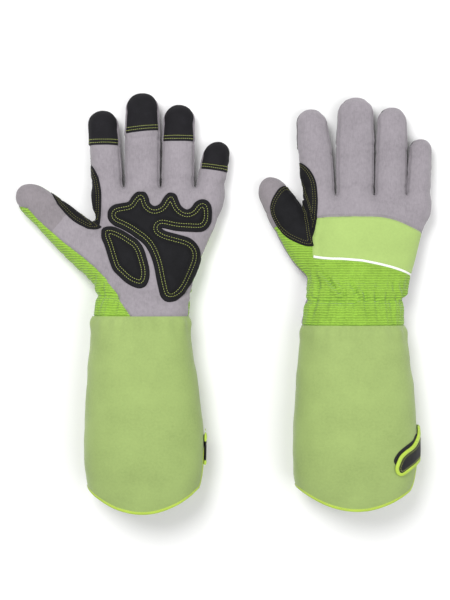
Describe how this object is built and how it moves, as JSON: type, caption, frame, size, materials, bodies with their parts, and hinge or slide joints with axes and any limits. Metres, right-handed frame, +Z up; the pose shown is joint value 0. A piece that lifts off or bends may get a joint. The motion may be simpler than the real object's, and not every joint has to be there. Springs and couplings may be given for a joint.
{
  "type": "gardening gloves",
  "caption": "Pair of long-cuff gardening gloves with padded palms, reinforced fingertips, stretch wrists and wide forearm cuffs.",
  "frame": {"origin": "on the table, under the middle of the pair as it lies", "axes": "+Z up from the table, +Y along the fingers, +X from the left glove to the right glove"},
  "size_m": [0.3962, 0.395, 0.0725],
  "materials": {
    "suede": "matte",
    "suede_thumb": "matte",
    "lime_knit": "matte",
    "cuff_fabric": "matte",
    "knuckle_fabric": "matte",
    "black_patch": "matte",
    "binding": "satin",
    "piping": "satin",
    "elastic": "matte",
    "foam": "matte",
    "hook_loop": "matte"
  },
  "bodies": {
    "left_cuff": {"left_gauntlet": "cuff_fabric", "left_cuff_binding": "binding", "left_loop_patch": "hook_loop"},
    "left_tab": {"left_closure_tab": "hook_loop", "left_tab_binding": "binding"},
    "left_hand": {"left_palm_panel": "suede", "left_back_panel": "suede", "left_knuckle_band": "knuckle_fabric", "left_wrist_panel": "lime_knit", "left_white_piping": "piping", "left_wrist_elastic": "elastic", "left_palm_pad": "black_patch", "left_thenar_pad": "black_patch", "left_pad_foam": "foam"},
    "left_index_lower": {"left_index_lower_sleeve": "suede", "left_index_side_patch": "black_patch"},
    "left_index_upper": {"left_index_upper_sleeve": "suede", "left_index_tip_patch": "black_patch"},
    "left_middle_lower": {"left_middle_lower_sleeve": "suede"},
    "left_middle_upper": {"left_middle_upper_sleeve": "suede", "left_middle_tip_patch": "black_patch"},
    "left_ring_lower": {"left_ring_lower_sleeve": "suede"},
    "left_ring_upper": {"left_ring_upper_sleeve": "suede", "left_ring_tip_patch": "black_patch"},
    "left_little_lower": {"left_little_lower_sleeve": "suede"},
    "left_little_upper": {"left_little_upper_sleeve": "suede", "left_little_tip_patch": "black_patch"},
    "left_thumb_lower": {"left_thumb_lower_sleeve": "suede", "left_thumb_patch": "black_patch"},
    "left_thumb_upper": {"left_thumb_upper_sleeve": "suede_thumb"},
    "right_cuff": {"right_gauntlet": "cuff_fabric", "right_cuff_binding": "binding", "right_loop_patch": "hook_loop"},
    "right_tab": {"right_closure_tab": "hook_loop", "right_tab_binding": "binding"},
    "right_hand": {"right_palm_panel": "suede", "right_back_panel": "suede", "right_knuckle_band": "knuckle_fabric", "right_wrist_panel": "lime_knit", "right_white_piping": "piping", "right_wrist_elastic": "elastic", "right_palm_pad": "black_patch", "right_thenar_pad": "black_patch", "right_pad_foam": "foam"},
    "right_index_lower": {"right_index_lower_sleeve": "suede", "right_index_side_patch": "black_patch"},
    "right_index_upper": {"right_index_upper_sleeve": "suede", "right_index_tip_patch": "black_patch"},
    "right_middle_lower": {"right_middle_lower_sleeve": "suede"},
    "right_middle_upper": {"right_middle_upper_sleeve": "suede", "right_middle_tip_patch": "black_patch"},
    "right_ring_lower": {"right_ring_lower_sleeve": "suede"},
    "right_ring_upper": {"right_ring_upper_sleeve": "suede", "right_ring_tip_patch": "black_patch"},
    "right_little_lower": {"right_little_lower_sleeve": "suede"},
    "right_little_upper": {"right_little_upper_sleeve": "suede", "right_little_tip_patch": "black_patch"},
    "right_thumb_lower": {"right_thumb_lower_sleeve": "suede", "right_thumb_patch": "black_patch"},
    "right_thumb_upper": {"right_thumb_upper_sleeve": "suede_thumb"}
  },
  "joints": [
    {"name": "left_wrist", "type": "hinge", "parent": "left_cuff", "child": "left_hand", "pos_m": [-0.0767, 0.0005, 0.0256], "axis": [1, 0, 0], "range_deg": [-35, 28], "deforming": ["left_palm_panel", "left_wrist_panel", "left_wrist_elastic"]},
    {"name": "left_tab_peel", "type": "hinge", "parent": "left_cuff", "child": "left_tab", "pos_m": [-0.0172, -0.15, 0.045], "axis": [0, -1, 0], "range_deg": [0, 120]},
    {"name": "left_index_knuckle", "type": "hinge", "parent": "left_hand", "child": "left_index_lower", "pos_m": [-0.11176, 0.1156, 0.0135], "axis": [1, 0, 0], "range_deg": [0, 75], "deforming": ["left_index_lower_sleeve", "left_index_side_patch"]},
    {"name": "left_index_middle_joint", "type": "hinge", "parent": "left_index_lower", "child": "left_index_upper", "pos_m": [-0.11392, 0.1471, 0.0131], "axis": [1, 0, 0], "range_deg": [0, 75], "deforming": ["left_index_lower_sleeve"]},
    {"name": "left_middle_knuckle", "type": "hinge", "parent": "left_hand", "child": "left_middle_lower", "pos_m": [-0.07855, 0.1161, 0.0135], "axis": [1, 0, 0], "range_deg": [0, 75], "deforming": ["left_middle_lower_sleeve"]},
    {"name": "left_middle_middle_joint", "type": "hinge", "parent": "left_middle_lower", "child": "left_middle_upper", "pos_m": [-0.07838, 0.1551, 0.0133], "axis": [1, 0, 0], "range_deg": [0, 75], "deforming": ["left_middle_lower_sleeve"]},
    {"name": "left_ring_knuckle", "type": "hinge", "parent": "left_hand", "child": "left_ring_lower", "pos_m": [-0.04442, 0.1156, 0.0135], "axis": [1, 0, 0], "range_deg": [0, 75], "deforming": ["left_ring_lower_sleeve"]},
    {"name": "left_ring_middle_joint", "type": "hinge", "parent": "left_ring_lower", "child": "left_ring_upper", "pos_m": [-0.04392, 0.1501, 0.0131], "axis": [1, 0, 0], "range_deg": [0, 75], "deforming": ["left_ring_lower_sleeve"]},
    {"name": "left_little_knuckle", "type": "hinge", "parent": "left_hand", "child": "left_little_lower", "pos_m": [-0.01289, 0.1121, 0.0135], "axis": [1, 0, 0], "range_deg": [0, 75], "deforming": ["left_little_lower_sleeve"]},
    {"name": "left_little_middle_joint", "type": "hinge", "parent": "left_little_lower", "child": "left_little_upper", "pos_m": [-0.01014, 0.1285, 0.0125], "axis": [1, 0, 0], "range_deg": [0, 75], "deforming": ["left_little_lower_sleeve"]},
    {"name": "left_thumb_base", "type": "hinge", "parent": "left_hand", "child": "left_thumb_lower", "pos_m": [-0.14198, 0.06066, 0.0176], "axis": [0.6428, 0.766, 0], "range_deg": [0, 45], "deforming": ["left_thumb_lower_sleeve", "left_thumb_patch"]},
    {"name": "left_thumb_tip_joint", "type": "hinge", "parent": "left_thumb_lower", "child": "left_thumb_upper", "pos_m": [-0.17002, 0.08418, 0.0156], "axis": [0.6428, 0.766, 0], "range_deg": [0, 60], "deforming": ["left_thumb_lower_sleeve", "left_thumb_patch"]},
    {"name": "right_wrist", "type": "hinge", "parent": "right_cuff", "child": "right_hand", "pos_m": [0.1228, 0.0005, 0.0272], "axis": [-1, 0, 0], "range_deg": [-35, 28], "deforming": ["right_palm_panel", "right_wrist_panel", "right_wrist_elastic"]},
    {"name": "right_tab_peel", "type": "hinge", "parent": "right_cuff", "child": "right_tab", "pos_m": [0.1832, -0.147, 0.027], "axis": [0, 1, 0], "range_deg": [0, 120]},
    {"name": "right_index_knuckle", "type": "hinge", "parent": "right_hand", "child": "right_index_lower", "pos_m": [0.08924, 0.108, 0.0166], "axis": [-1, 0, 0], "range_deg": [0, 75], "deforming": ["right_index_lower_sleeve", "right_index_side_patch"]},
    {"name": "right_index_middle_joint", "type": "hinge", "parent": "right_index_lower", "child": "right_index_upper", "pos_m": [0.08615, 0.1415, 0.0156], "axis": [-1, 0, 0], "range_deg": [0, 75], "deforming": ["right_index_lower_sleeve"]},
    {"name": "right_middle_knuckle", "type": "hinge", "parent": "right_hand", "child": "right_middle_lower", "pos_m": [0.12418, 0.1085, 0.0166], "axis": [-1, 0, 0], "range_deg": [0, 75], "deforming": ["right_middle_lower_sleeve"]},
    {"name": "right_middle_middle_joint", "type": "hinge", "parent": "right_middle_lower", "child": "right_middle_upper", "pos_m": [0.12442, 0.1475, 0.0158], "axis": [-1, 0, 0], "range_deg": [0, 75], "deforming": ["right_middle_lower_sleeve"]},
    {"name": "right_ring_knuckle", "type": "hinge", "parent": "right_hand", "child": "right_ring_lower", "pos_m": [0.15806, 0.108, 0.0166], "axis": [-1, 0, 0], "range_deg": [0, 75], "deforming": ["right_ring_lower_sleeve"]},
    {"name": "right_ring_middle_joint", "type": "hinge", "parent": "right_ring_lower", "child": "right_ring_upper", "pos_m": [0.15904, 0.1425, 0.0156], "axis": [-1, 0, 0], "range_deg": [0, 75], "deforming": ["right_ring_lower_sleeve"]},
    {"name": "right_little_knuckle", "type": "hinge", "parent": "right_hand", "child": "right_little_lower", "pos_m": [0.18505, 0.1055, 0.0163], "axis": [-1, 0, 0], "range_deg": [0, 75], "deforming": ["right_little_lower_sleeve"]},
    {"name": "right_little_middle_joint", "type": "hinge", "parent": "right_little_lower", "child": "right_little_upper", "pos_m": [0.18602, 0.123, 0.015], "axis": [-1, 0, 0], "range_deg": [0, 75], "deforming": ["right_little_lower_sleeve"]},
    {"name": "right_thumb_base", "type": "hinge", "parent": "right_hand", "child": "right_thumb_lower", "pos_m": [0.06473, 0.0706, 0.017], "axis": [-0.8746, -0.4848, 0], "range_deg": [0, 45], "deforming": ["right_thumb_lower_sleeve", "right_thumb_patch"]},
    {"name": "right_thumb_tip_joint", "type": "hinge", "parent": "right_thumb_lower", "child": "right_thumb_upper", "pos_m": [0.05281, 0.09212, 0.0157], "axis": [-0.8746, -0.4848, 0], "range_deg": [0, 60], "deforming": ["right_thumb_lower_sleeve", "right_thumb_patch"]},
    {"name": "gloves_apart", "type": "slide", "parent": "left_cuff", "child": "right_cuff", "axis": [1, 0, 0], "range_m": [0, 0.25]}
  ]
}
